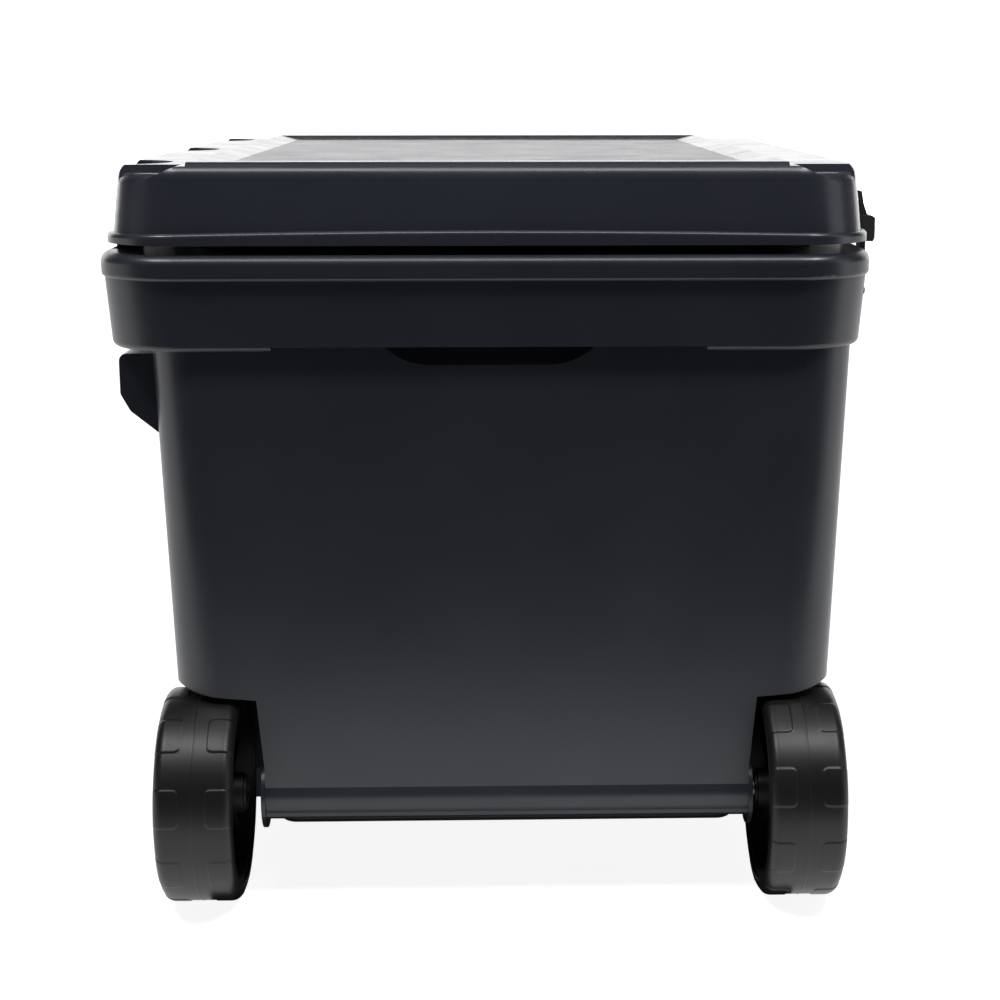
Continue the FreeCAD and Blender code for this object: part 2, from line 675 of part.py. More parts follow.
def hub_solid(centre, sign):
    """A wheel core: rim, hub, a disc at the outer side and radial ribs open to the inside."""
    width = read("wheel_width")
    rim_r = read("tyre_inner_r") - 0.15
    rim = ring(rim_r, read("rim_inner_r"), width - 4, centre + X_AXIS * 2, X_AXIS)
    hub = Part.makeCylinder(read("hub_r"), width, centre, X_AXIS)
    disc_x = 8 if sign < 0 else width - 12
    disc = Part.makeCylinder(rim_r - 1, 4, centre + X_AXIS * disc_x, X_AXIS)
    rib_x = (disc_x, width - 10) if sign < 0 else (10, disc_x + 3)
    solid = rim.fuse([hub, disc])
    pitch = 360.0 / read("rib_count")
    rib = Part.makeBox(rib_x[1] - rib_x[0], 2.4, rim_r - read("hub_r"),
                       centre + FreeCAD.Vector(rib_x[0], -1.2, read("hub_r") - 1))
    for index in range(int(read("rib_count"))):
        turned_rib = rib.copy()
        turned_rib.rotate(centre, X_AXIS, index * pitch + pitch / 2)
        solid = solid.fuse(turned_rib)
    bore = Part.makeCylinder(read("axle_r") + read("running_gap"), width + 2, centre - X_AXIS, X_AXIS)
    return solid.cut(bore).removeSplitter()


def wheel_parts():
    for sign, side in ((-1, "left"), (1, "right")):
        middle = read("tub_mid") - read("axle_play")
        start = read("wheel_inner") if sign > 0 else -read("wheel_inner") - read("wheel_width")
        centre = FreeCAD.Vector(middle + start, read("axle_y"), read("axle_z"))
        node("tyre_" + side, shape("tyre_" + side, tyre_solid(centre)))
        node("wheel_core_" + side, shape("wheel_core_" + side, hub_solid(centre, sign)))


# ---------------------------------------------------------------- hinges

def screw(place_at, into, head_r=3.4, head=2.2, shank_r=1.8, length=12):
    """A round-head screw: its head sits on place_at and its shank goes along into."""
    back = into * -head
    cap = soften_rims(Part.makeCylinder(head_r, head, place_at + back, into), 0.7)
    return cap.fuse(Part.makeCylinder(shank_r, length, place_at, into))


def body_leaf(middle, axis):
    """The tub's leaf: a base let into the rim's deck, and two arms with knuckles on axis."""
    half = read("hinge_half")
    top = read("leaf_low") + read("leaf_thick")
    back, front = read("leaf_back"), read("leaf_front")
    radius = read("barrel_r")
    leaf = prism(((back, read("leaf_low")), (front, read("leaf_low")), (front, top), (back, top)),
                 middle - half, middle + half)
    arm = ((axis.x - radius + 0.4, top - 1), (axis.x + radius - 2.4, top - 1),
           (axis.x + radius - 0.2, axis.z), (axis.x - radius + 0.2, axis.z))
    inner = read("knuckle_half") + read("knuckle_gap")
    for start, end in ((middle - half, middle - inner), (middle + inner, middle + half)):
        knuckle = Part.makeCylinder(radius, end - start, FreeCAD.Vector(axis.x, start, axis.z), Y_AXIS)
        leaf = leaf.fuse([prism(arm, start, end), knuckle])
    return leaf


def lid_leaf(middle, axis):
    """The lid's leaf: a strap up the pocket's wall, and an arm to the middle knuckle on axis."""
    half = read("hinge_half") - 1
    knuckle = read("knuckle_half")
    face = read("pocket_x") - 0.1
    strap = soften(Part.makeBox(read("strap_thick"), 2 * half, read("strap_height"),
                                FreeCAD.Vector(face - read("strap_thick"), middle - half, axis.z - 6)),
                   X_AXIS, 4)
    arm = Part.makeBox(face - axis.x - 1, 2 * knuckle, 6,
                       FreeCAD.Vector(axis.x, middle - knuckle, axis.z - 3))
    barrel = Part.makeCylinder(read("barrel_r"), 2 * knuckle,
                               FreeCAD.Vector(axis.x, middle - knuckle, axis.z), Y_AXIS)
    return strap.fuse([arm, barrel])


def hinge_parts():
    """Three hinges inside the lid's pockets, each of two leaves, a pin and four screws."""
    half = read("hinge_half")
    groups = {"hinge_body_leaves": [], "hinge_lid_leaves": [], "hinge_pins": [],
              "hinge_body_screws": [], "hinge_lid_screws": []}
    for factor in (-1, 0, 1):
        middle = factor * read("hinge_pitch")
        axis = FreeCAD.Vector(read("hinge_x"), middle - half, read("hinge_z"))
        body, lid = body_leaf(middle, axis), lid_leaf(middle, axis)
        pin = Part.makeCylinder(read("hinge_pin_r"), 2 * half, axis, Y_AXIS)
        groups["hinge_pins"].append(pin)
        lid = lid.cut(Part.makeCylinder(read("hinge_pin_r") + read("running_gap"), 2 * half, axis, Y_AXIS))
        body = body.cut(pin)
        for side in (-1, 1):
            spot = FreeCAD.Vector(axis.x - 3, middle + side * 4, read("leaf_low") + read("leaf_thick"))
            body = body.cut(Part.makeCylinder(SCREW_HOLE, 5, spot, Z_AXIS * -1))
            groups["hinge_body_screws"].append(screw(spot, Z_AXIS * -1, length=9))
            spot = FreeCAD.Vector(read("pocket_x") - 0.1 - read("strap_thick"), middle + side * 12,
                                  axis.z + 12)
            lid = lid.cut(Part.makeCylinder(SCREW_HOLE, 5, spot, X_AXIS))
            groups["hinge_lid_screws"].append(screw(spot, X_AXIS, length=10))
        groups["hinge_body_leaves"].append(body)
        groups["hinge_lid_leaves"].append(lid)
    for name, solids in groups.items():
        node(name, shape(name, Part.makeCompound(solids)))


# ---------------------------------------------------------------- latches

def latch_solid(middle):
    """A rubber T-strap: a loop round its pin, a thin strap, a wide head and a pull tab."""
    pin_x = read("latch_pin_x")
    pin_z = read("latch_pin_z")
    reach = read("latch_reach")
    strap_outline = ((pin_x + 1.0, pin_z), (pin_x + 4.4, pin_z), (reach - 3.8, 424), (reach - 3.8, 430),
                     (reach - 7.4, 430), (reach - 7.4, 424))
    strap = soften(prism(strap_outline, middle - 7, middle + 7), Y_AXIS, 1.2)
    loop = Part.makeCylinder(4.4, 14, FreeCAD.Vector(pin_x, middle - 7, pin_z), Y_AXIS)
    head_outline = ((reach - 9.2, 426), (reach - 1, 425.6), (reach, 428), (reach, 441), (reach - 2, 442.4),
                    (reach - 9.2, 442.4))
    head = soften(prism(head_outline, middle - 18, middle + 18), Y_AXIS, 1.1)
    tab_outline = ((reach - 9.2, 441), (reach - 3.6, 441), (reach - 6.8, 450), (reach - 8.2, 458),
                   (reach - 9.4, 458))
    tab = soften(prism(tab_outline, middle - 12, middle + 12), Y_AXIS, 0.5)
    hole = Part.makeCylinder(read("latch_pin_r") + read("running_gap"), 16,
                             FreeCAD.Vector(pin_x, middle - 8, pin_z), Y_AXIS)
    return strap.fuse([loop, head, tab]).cut(hole)


def latch_parts():
    """Two latches, the lugs and pins that hold them on the skirt, and the lid's keepers."""
    pin_x = read("latch_pin_x")
    pin_z = read("latch_pin_z")
    lugs, pins, keepers, lug_screws, keeper_screws = [], [], [], [], []
    for name, middle in (("near", -read("latch_y")), ("far", read("latch_y"))):
        node("latch_" + name, shape("latch_" + name, latch_solid(middle)))
        back = FreeCAD.Vector(read("lug_back"), middle - 22, pin_z - 10)
        plate = soften(Part.makeBox(2.6, 44, 20, back), X_AXIS, 4)
        for side in (-1, 1):
            ear_y = middle + (7.5 if side > 0 else -11.5)
            ear = Part.makeCylinder(4.6, 4, FreeCAD.Vector(pin_x, ear_y, pin_z), Y_AXIS)
            root = Part.makeBox(pin_x - back.x - 0.6, 4, 9.2,
                                FreeCAD.Vector(back.x + 0.6, ear_y, pin_z - 4.6))
            plate = plate.fuse([ear, root])
            spot = FreeCAD.Vector(back.x + 2.6, middle + side * 17, pin_z)
            plate = plate.cut(Part.makeCylinder(SCREW_HOLE, 8, spot - X_AXIS * 4, X_AXIS))
            lug_screws.append(screw(spot, X_AXIS * -1, length=8))
        pin = Part.makeCylinder(read("latch_pin_r"), 23, FreeCAD.Vector(pin_x, middle - 11.5, pin_z), Y_AXIS)
        lugs.append(plate.cut(pin))
        pins.append(pin)
        face, foot = read("latch_reach") - read("keeper_gap"), read("keeper_back")
        outline = ((foot, 441), (foot, 426.5), (face, 426.5), (face, 441), (foot + 3.1, 445),
                   (foot + 1.6, 460), (foot - 5.3, 460))
        keeper = soften(prism(outline, middle - 20, middle + 20), Y_AXIS, 0.8)
        for side in (-1, 1):
            spot = FreeCAD.Vector(foot + 2.3, middle + side * 12, 453)
            keeper = keeper.cut(Part.makeCylinder(SCREW_HOLE, 12, spot - X_AXIS * 10, X_AXIS))
            keeper_screws.append(screw(spot, X_AXIS * -1, length=14))
        keepers.append(keeper)
    node("latch_lugs", shape("latch_lugs", Part.makeCompound(lugs)))
    node("latch_pins", shape("latch_pins", Part.makeCompound(pins)))
    node("latch_lug_screws", shape("latch_lug_screws", Part.makeCompound(lug_screws)))
    node("latch_keepers", shape("latch_keepers", Part.makeCompound(keepers)))
    node("latch_keeper_screws", shape("latch_keeper_screws", Part.makeCompound(keeper_screws)))


# ---------------------------------------------------------------- tow handle

def bow_foot(length):
    """The bow's lower bar with its two bends, about a level axis at its eyes."""
    radius, bend_r = read("arm_r"), read("bend_r")
    straight = read("bow_half_x") - bend_r
    ring_solid = Part.makeTorus(bend_r, radius)
    ring_solid.rotate(FreeCAD.Vector(), X_AXIS, 90)
    size = 2 * bend_r
    bends = []
    for sign in (-1, 1):
        quarter = Part.makeBox(size, size, size,
                               FreeCAD.Vector(0 if sign > 0 else -size, -bend_r, -size))
        bend = ring_solid.common(quarter)
        bend.translate(FreeCAD.Vector(sign * straight, 0, bend_r - length))
        bends.append(bend)
    return Part.makeCylinder(radius, 2 * straight, FreeCAD.Vector(-straight, 0, -length), X_AXIS).fuse(bends)


def handle_parts():
    """A bow of bar with a thick grip that hangs on two brackets at the far end."""
    eye = FreeCAD.Vector(read("tub_mid"), read("bow_y"), read("bow_z"))
    grip_y = read("end_reach") - read("grip_r")
    lean = FreeCAD.Vector(0, grip_y - eye.y, -read("bow_drop"))
    foot = bow_foot(lean.Length)
    foot.rotate(FreeCAD.Vector(), X_AXIS, math.degrees(math.atan2(lean.y, -lean.z)))
    foot.translate(eye)
    pieces = []
    for sign in (-1, 1):
        top = eye + X_AXIS * (sign * read("bow_half_x"))
        pieces.append(Part.makeCylinder(read("arm_r"), lean.Length - read("bend_r"), top, lean))
        pieces.append(Part.makeCylinder(read("eye_r"), 18, top - X_AXIS * 9, X_AXIS))
    bow = foot.fuse(pieces)
    for sign in (-1, 1):
        start = eye + X_AXIS * (sign * read("bow_half_x") - 20)
        bow = bow.cut(Part.makeCylinder(read("handle_pin_r") + read("running_gap"), 40, start, X_AXIS))
    node("tow_bow", shape("tow_bow", bow.removeSplitter()))
    length = 2 * read("grip_half")
    start = FreeCAD.Vector(eye.x - length / 2, grip_y, eye.z - read("bow_drop"))
    grip = soften_rims(Part.makeCylinder(read("grip_r"), length, start, X_AXIS), 5)
    grip = grip.cut(Part.makeCylinder(read("arm_r") + 0.15, length + 2, start - X_AXIS, X_AXIS))
    node("tow_grip", shape("tow_grip", grip))
    bracket_parts(eye)


def bracket_parts(eye):
    """Brackets with two cheeks each, their pins and screws."""
    wall = read("bracket_face")
    y, z = eye.y, eye.z
    brackets, pins, screws = [], [], []
    for sign in (-1, 1):
        x = eye.x + sign * read("bow_half_x")
        plate = soften(Part.makeBox(46, 5, 56, FreeCAD.Vector(x - 23, wall, z - 33)), Y_AXIS, 6)
        for side in (-1, 1):
            cheek_x = x + (9.5 if side > 0 else -14.5)
            cheek = Part.makeCylinder(11, 5, FreeCAD.Vector(cheek_x, y, z), X_AXIS)
            root = Part.makeBox(5, y - wall, 22, FreeCAD.Vector(cheek_x, wall, z - 11))
            plate = plate.fuse([cheek, root])
            for height in (-25, 16):
                spot = FreeCAD.Vector(x + side * 18.5, wall + 5, z + height)
                plate = plate.cut(Part.makeCylinder(2.3, 12, spot + Y_AXIS, Y_AXIS * -1))
                screws.append(screw(spot, Y_AXIS * -1, length=11))
        pin = Part.makeCylinder(read("handle_pin_r"), 29, FreeCAD.Vector(x - 14.5, y, z), X_AXIS)
        brackets.append(plate.cut(pin))
        pins.append(pin)
    node("handle_brackets", shape("handle_brackets", Part.makeCompound(brackets)))
    node("handle_pins", shape("handle_pins", Part.makeCompound(pins)))
    node("handle_screws", shape("handle_screws", Part.makeCompound(screws)))


# ---------------------------------------------------------------- drain

def drain_parts():
    """Drain: a flanged tube through the wall, its washer, its inner nut and a screw cap."""
    centre = FreeCAD.Vector(read("tub_mid"), 0, read("drain_z"))
    bore = read("drain_bore_r")
    outside = read("drain_face")
    tube_r = bore + 3
    tube = Part.makeCylinder(tube_r, outside + 14 - 234, centre + Y_AXIS * 234, Y_AXIS)
    flange = Part.makeCylinder(19, 3, centre + Y_AXIS * (outside + 1.6), Y_AXIS)
    passage = Part.makeCylinder(bore, 80, centre + Y_AXIS * 220, Y_AXIS)
    node("drain_tube", shape("drain_tube", tube.fuse(flange).cut(passage)))
    washer = ring(18, tube_r + 0.2, 1.5, centre + Y_AXIS * outside, Y_AXIS)
    node("drain_washer", shape("drain_washer", washer))
    nut = hexagon(centre + Y_AXIS * 235.5, 15, 4.2).cut(
        Part.makeCylinder(tube_r + 0.1, 10, centre + Y_AXIS * 233, Y_AXIS))
    node("drain_nut", shape("drain_nut", nut))
    start = outside + 5.2
    cap = Part.makeCylinder(read("drain_cap_r"), 14, centre + Y_AXIS * start, Y_AXIS)
    cap = soften_rims(cap, 1.5)
    cap = cap.cut(Part.makeCylinder(tube_r + 0.05, 10.8, centre + Y_AXIS * (start - 1), Y_AXIS))
    groove_place = centre + FreeCAD.Vector(0, start - 1, read("drain_cap_r") + 0.6)
    for index in range(12):
        groove = Part.makeCylinder(1.6, 16, groove_place, Y_AXIS)
        groove.rotate(centre, Y_AXIS, index * 30)
        cap = cap.cut(groove)
    node("drain_cap", shape("drain_cap", cap))
    seal = Part.makeCylinder(10.8, 0.8, centre + Y_AXIS * (outside + 14.1), Y_AXIS)
    node("drain_cap_seal", shape("drain_cap_seal", seal))


def hexagon(centre, radius, length):
    corners = [centre + FreeCAD.Vector(math.cos(math.radians(turn)), 0, math.sin(math.radians(turn))) * radius
               for turn in range(0, 360, 60)]
    return Part.Face(Part.makePolygon(corners + corners[:1])).extrude(Y_AXIS * length)


def check_document():
    """Stop if any object failed or any sub-part is empty or broken."""
    for item in doc.Objects:
        if "Invalid" in item.State or "Error" in item.State:
            raise RuntimeError("failed object: %s %s" % (item.Name, item.State))
    for item in nodes:
        if item.Shape.isNull() or not item.Shape.isValid() or not item.Shape.Solids:
            raise RuntimeError("bad sub-part: " + item.Label)


def write_steps():
    os.makedirs("parts", exist_ok=True)
    for item in nodes:
        item.Shape.exportStep("parts/%s.step" % item.Label)
        print(item.Label, len(item.Shape.Solids), round(item.Shape.Volume / 1000, 1), "cm3")


fill_sheet()
lid_shell()
lid_inside()
body_shell()
body_inside()
base_parts()
axle_parts()
wheel_parts()
hinge_parts()
latch_parts()
handle_parts()
drain_parts()
doc.recompute()
check_document()
write_steps()
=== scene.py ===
import bpy
import math
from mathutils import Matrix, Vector


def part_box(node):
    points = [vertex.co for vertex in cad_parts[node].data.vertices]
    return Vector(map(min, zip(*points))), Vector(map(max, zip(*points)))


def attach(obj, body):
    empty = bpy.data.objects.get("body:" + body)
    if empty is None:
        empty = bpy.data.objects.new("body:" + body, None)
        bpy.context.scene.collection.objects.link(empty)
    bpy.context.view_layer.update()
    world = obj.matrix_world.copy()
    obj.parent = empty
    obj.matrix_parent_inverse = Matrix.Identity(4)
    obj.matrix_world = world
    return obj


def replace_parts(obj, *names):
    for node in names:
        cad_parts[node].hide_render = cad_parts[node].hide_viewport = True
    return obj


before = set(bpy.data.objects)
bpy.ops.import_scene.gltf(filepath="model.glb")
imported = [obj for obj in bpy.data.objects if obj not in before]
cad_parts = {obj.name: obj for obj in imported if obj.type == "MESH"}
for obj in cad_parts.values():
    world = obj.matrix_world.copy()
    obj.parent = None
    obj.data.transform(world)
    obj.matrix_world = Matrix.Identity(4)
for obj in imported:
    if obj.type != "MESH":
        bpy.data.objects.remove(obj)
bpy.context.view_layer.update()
MM = 0.001
CREASE = math.radians(40)

# ---------------------------------------------------------------- camera

CAMERA_PLACE = (-0.0078, -1.4434, 0.531)
CAMERA_PITCH = math.radians(90 - 12.55)
CAMERA_YAW = math.radians(-1.46)
CAMERA_LENS = 68.4
CAMERA_SHIFT = -0.0356


def make_camera():
    """The photographer's view: the wheel end, from a little above the lid."""
    data = bpy.data.cameras.new("camera")
    data.lens = CAMERA_LENS
    data.sensor_width = 36
    data.shift_x = CAMERA_SHIFT
    camera = bpy.data.objects.new("camera", data)
    camera.location = CAMERA_PLACE
    camera.rotation_euler = (CAMERA_PITCH, 0, CAMERA_YAW)
    bpy.context.scene.collection.objects.link(camera)
    bpy.context.scene.camera = camera


# ---------------------------------------------------------------- materials

SHELL_COLOUR = (0.0175, 0.0195, 0.0270)
# Painted light: the lid's colour is the tub's made this much lighter, for the brighter light the lid
# catches.
LID_PAINTED_LIGHT = 1.3
PANEL_HALF = (165 * MM, 259 * MM)
PANEL_DEPTH = 4 * MM
PANEL_ROUGHER = 0.085
PEBBLE_SCALE = 650
PEBBLE_HEIGHT = 0.5 * MM
LID_GRAIN = 0.006 * MM
PEEL_HEIGHT = 0.08 * MM
CELL_HEIGHT = 0.4 * MM
STREAK_HEIGHT = 0.02 * MM


class Nodes:
    """Short calls for wiring up one material's nodes."""

    def __init__(self, name):
        self.material = bpy.data.materials.new(name)
        self.material.use_nodes = True
        self.tree = self.material.node_tree
        self.shader = self.tree.nodes["Principled BSDF"]
        self.place = self.add("ShaderNodeTexCoord").outputs["Object"]

    def add(self, kind, **values):
        node = self.tree.nodes.new(kind)
        for name, value in values.items():
            setattr(node, name, value)
        return node

    def link(self, source, target):
        self.tree.links.new(source, target)

    def noise(self, scale, detail, stretch=(1, 1, 1)):
        """Soft noise in the object's own space."""
        mapping = self.add("ShaderNodeMapping")
        mapping.inputs["Scale"].default_value = stretch
        self.link(self.place, mapping.inputs["Vector"])
        node = self.add("ShaderNodeTexNoise")
        node.inputs["Scale"].default_value = scale
        node.inputs["Detail"].default_value = detail
        self.link(mapping.outputs["Vector"], node.inputs["Vector"])
        return node.outputs["Fac"]

    def cells(self, scale):
        """Rounded cells, for pebbles and foam."""
        node = self.add("ShaderNodeTexVoronoi", feature="SMOOTH_F1")
        node.inputs["Scale"].default_value = scale
        self.link(self.place, node.inputs["Vector"])
        return node.outputs["Distance"]

    def spread(self, value, low, high):
        """A noise value moved into the range from low to high."""
        node = self.add("ShaderNodeMapRange")
        ends = {"From Min": 0.3, "From Max": 0.7, "To Min": low, "To Max": high}
        for socket, number in ends.items():
            node.inputs[socket].default_value = number
        self.link(value, node.inputs["Value"])
        return node.outputs["Result"]

    def math(self, operation, first, second):
        node = self.add("ShaderNodeMath", operation=operation)
        for socket, value in zip(node.inputs, (first, second)):
            if isinstance(value, (int, float)):
                socket.default_value = value
            else:
                self.link(value, socket)
        return node.outputs["Value"]

    def mottle(self, value, dark, light):
        """A base colour that drifts between two by a noise value."""
        ramp = self.add("ShaderNodeValToRGB")
        for stop, place, colour in zip(ramp.color_ramp.elements, (0.3, 0.7), (dark, light)):
            stop.position = place
            stop.color = (*colour, 1)
        self.link(value, ramp.inputs["Fac"])
        self.link(ramp.outputs["Color"], self.shader.inputs["Base Color"])

    def bump(self, height, distance, under=None):
        """A surface normal bent by a height, on top of the bump under it if there is one."""
        node = self.add("ShaderNodeBump")
        node.inputs["Strength"].default_value = 1.0
        node.inputs["Distance"].default_value = distance
        self.link(height, node.inputs["Height"])
        if under is not None:
            self.link(under, node.inputs["Normal"])
        return node.outputs["Normal"]


def moulded(name, colour, roughness, grain=1400, height=0.02 * MM, vary=0.10, specular=0.5):
    """Moulded plastic or rubber: slight cloudiness, a fine grain and uneven gloss."""
    nodes = Nodes(name)
    dark = [channel * (1 - vary) for channel in colour]
    light = [channel * (1 + vary) for channel in colour]
    nodes.mottle(nodes.noise(9, 4), dark, light)
    gloss = nodes.spread(nodes.noise(23, 3), roughness - 0.03, roughness + 0.03)
    nodes.link(gloss, nodes.shader.inputs["Roughness"])
    nodes.link(nodes.bump(nodes.noise(grain, 2), height), nodes.shader.inputs["Normal"])
    nodes.shader.inputs["Specular IOR Level"].default_value = specular
    return nodes


def shell_plastic():
    """The tub's satin plastic."""
    return moulded("shell_plastic", SHELL_COLOUR, 0.33, vary=0.06).material


def lid_plastic_painted_light():
    """The lid's plastic: the tub's colour made lighter as painted light, for the brighter light on
    the lid. Only its recessed panel is pebbled and rougher."""
    # painted light: the tub's colour, lightened
    colour = [LID_PAINTED_LIGHT * channel for channel in SHELL_COLOUR]
    nodes = moulded("lid_plastic_painted_light", colour, 0.27, height=LID_GRAIN, vary=0.06)
    low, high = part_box("lid_shell")
    parts = nodes.add("ShaderNodeSeparateXYZ")
    nodes.link(nodes.place, parts.inputs["Vector"])
    middle = (low.x + high.x) / 2
    across = nodes.math("ABSOLUTE", nodes.math("SUBTRACT", parts.outputs["X"], middle), 0)
    along = nodes.math("ABSOLUTE", parts.outputs["Y"], 0)
    inside = nodes.math("MULTIPLY", nodes.math("LESS_THAN", across, PANEL_HALF[0]),
                        nodes.math("LESS_THAN", along, PANEL_HALF[1]))
    top = nodes.math("GREATER_THAN", parts.outputs["Z"], high.z - PANEL_DEPTH)
    mask = nodes.math("MULTIPLY", inside, top)
    pebbles = nodes.math("MULTIPLY", nodes.cells(PEBBLE_SCALE), mask)
    grain = nodes.shader.inputs["Normal"].links[0].from_socket
    nodes.link(nodes.bump(pebbles, PEBBLE_HEIGHT, under=grain), nodes.shader.inputs["Normal"])
    rough = nodes.shader.inputs["Roughness"].links[0].from_socket
    nodes.link(nodes.math("ADD", rough, nodes.math("MULTIPLY", mask, PANEL_ROUGHER)),
               nodes.shader.inputs["Roughness"])
    return nodes.material


def foam():
    """Insulating foam: pale, with open cells."""
    nodes = Nodes("foam")
    nodes.mottle(nodes.noise(60, 5), (0.70, 0.60, 0.36), (0.82, 0.74, 0.50))
    nodes.shader.inputs["Roughness"].default_value = 0.9
    nodes.link(nodes.bump(nodes.cells(900), CELL_HEIGHT), nodes.shader.inputs["Normal"])
    return nodes.material


def steel():
    """Zinc plated steel, faintly brushed along its length."""
    nodes = Nodes("steel")
    nodes.mottle(nodes.noise(40, 4), (0.50, 0.50, 0.52), (0.66, 0.66, 0.66))
    nodes.shader.inputs["Metallic"].default_value = 1.0
    streaks = nodes.noise(500, 2, (0.05, 1, 1))
    nodes.link(nodes.spread(streaks, 0.22, 0.38), nodes.shader.inputs["Roughness"])
    nodes.link(nodes.bump(streaks, STREAK_HEIGHT), nodes.shader.inputs["Normal"])
    return nodes.material


def painted_steel():
    """Black powder coat, with its orange peel."""
    nodes = Nodes("painted_steel")
    nodes.mottle(nodes.noise(30, 3), (0.018, 0.018, 0.019), (0.028, 0.028, 0.030))
    nodes.shader.inputs["Roughness"].default_value = 0.42
    nodes.link(nodes.bump(nodes.noise(700, 3), PEEL_HEIGHT), nodes.shader.inputs["Normal"])
    return nodes.material


def paint_nodes():
    """Gives every CAD node the procedural material of its slot, and the lid its own, lightened as
    painted light.
    """
    tyre_plastic = moulded("tyre_plastic", (0.0045, 0.0045, 0.0048), 0.40, 900, specular=0.42)
    looks = {
        "shell_plastic": shell_plastic(),
        "liner_plastic": moulded("liner_plastic", (0.72, 0.74, 0.75), 0.40, vary=0.03).material,
        "foam": foam(),
        "pan_plastic": moulded("pan_plastic", (0.0080, 0.0082, 0.0095), 0.45).material,
        "tyre_plastic": tyre_plastic.material,
        "wheel_plastic": moulded("wheel_plastic", (0.0075, 0.0075, 0.0080), 0.42).material,
        "rubber": moulded("rubber", (0.016, 0.016, 0.017), 0.62, 700, 0.05 * MM).material,
        "black_plastic": moulded("black_plastic", (0.012, 0.012, 0.013), 0.45).material,
        "steel": steel(),
        "painted_steel": painted_steel(),
    }
    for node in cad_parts.values():
        for place in node.material_slots:
            place.material = looks[place.material.name.split(".")[0]]
    # the lid gets the tub's colour lightened as painted light
    lid = lid_plastic_painted_light()
    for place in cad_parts["lid_shell"].material_slots:
        place.material = lid
    return looks


# ---------------------------------------------------------------- tyres

TREAD_DEPTH = 0.5 * MM
PAD_COUNT = 9
PAD_LENGTH = math.radians(20)
PAD_WIDTH = 0.33
PAD_CORNER = 3.5 * MM
PAD_EDGE = 0.5 * MM
SEAM_HEIGHT = 0.25 * MM
SEAM_HALF = 0.5 * MM
BORE_BEVEL = 0.5 * MM
SHOULDER = 7 * MM
TYRE_WALL = 9.5 * MM
LEFT_TURN = math.radians(12.4)
RIGHT_TURN = math.radians(21)
TURN_STEPS = 720
CROWN_STEPS = 56
SHOULDER_STEPS = 9
SHARE_RISE = 2.2


def tyre_profile(width, radius):
    """The tyre's section as (x, r, outward x, outward r, tread share): round the outside from one
    bore edge to the other. The tread share fades out down the shoulders."""
    bore = radius - TYRE_WALL
    points = [(BORE_BEVEL, bore, 0, -1, 0), (0, bore + BORE_BEVEL, -1, 0, 0)]
    for step in range(SHOULDER_STEPS):
        angle = math.pi / 2 * step / SHOULDER_STEPS
        points.append((SHOULDER * (1 - math.cos(angle)), radius - SHOULDER * (1 - math.sin(angle)),
                       -math.cos(angle), math.sin(angle), min(1, SHARE_RISE * step / SHOULDER_STEPS)))
    for step in range(CROWN_STEPS + 1):
        points.append((SHOULDER + (width - 2 * SHOULDER) * step / CROWN_STEPS, radius, 0, 1, 1))
    near = points[:SHOULDER_STEPS + 2]
    far = [(width - x, r, -out_x, out_r, share) for x, r, out_x, out_r, share in near]
    return points + far[::-1]


def smooth(value):
    """Rises from 0 to 1 without corners as the value does, and is flat beyond them."""
    value = min(1, max(0, value))
    return value * value * (3 - 2 * value)


def pad_share(x, angle, width, radius):
    """1 on a pad, 0 in a groove. A pad is a rounded rectangle against either edge of the tread."""
    pitch = 2 * math.pi / PAD_COUNT
    around = abs((angle + pitch / 2) % pitch - pitch / 2) * radius
    inward = min(x, width - x)
    over = (around - PAD_LENGTH / 2 * radius + PAD_CORNER, inward - PAD_WIDTH * width + PAD_CORNER)
    outside = math.hypot(max(over[0], 0), max(over[1], 0)) + min(max(over), 0) - PAD_CORNER
    return smooth(0.5 - outside / PAD_EDGE)


def make_tyre(name, node, body, turn):
    """A tyre with raised pads along both edges of its tread and a fine seam round its middle,
    turned by an angle about its axle."""
    low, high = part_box(node)
    width, radius = high.x - low.x, (high.z - low.z) / 2
    middle = (low + high) / 2
    profile = tyre_profile(width, radius)
    verts = []
    for step in range(TURN_STEPS):
        angle = 2 * math.pi * step / TURN_STEPS
        for x, r, out_x, out_r, share in profile:
            sink = share * TREAD_DEPTH * (1 - pad_share(x, angle - turn, width, radius))
            seam = share * SEAM_HEIGHT * smooth(1 - abs(x - width / 2) / SEAM_HALF)
            x, r = x - out_x * (sink - seam), r - out_r * (sink - seam)
            verts.append((low.x + x, middle.y - r * math.cos(angle), middle.z + r * math.sin(angle)))
    count = len(profile)
    faces = []
    for step in range(TURN_STEPS):
        here, ahead = step * count, (step + 1) % TURN_STEPS * count
        for index in range(count):
            after = (index + 1) % count
            faces.append((here + index, here + after, ahead + after, ahead + index))
    tyre = make_piece(name, verts, faces, "tyre_plastic", body)
    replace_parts(tyre, node)


def make_piece(name, verts, faces, slot, body):
    """A smooth shaded mesh that rides on a body and takes a slot's material."""
    mesh = bpy.data.meshes.new(name)
    mesh.from_pydata(verts, [], faces)
    mesh.polygons.foreach_set("use_smooth", [True] * len(mesh.polygons))
    mesh.set_sharp_from_angle(angle=CREASE)
    mesh.materials.append(looks[slot])
    piece = bpy.data.objects.new(name, mesh)
    bpy.context.scene.collection.objects.link(piece)
    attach(piece, body)
    return piece


# ---------------------------------------------------------------- tow grip

GRIP_RIBS = 26
GRIP_GROOVE = 1.1 * MM
GRIP_END = 3 * MM
GRIP_PLAIN = 9 * MM
GRIP_STEPS = 96
GRIP_STATIONS = 600
BOW_R = 8.5 * MM
GROOVE_WIDTH = 1.6
GROOVE_REST = 0.6


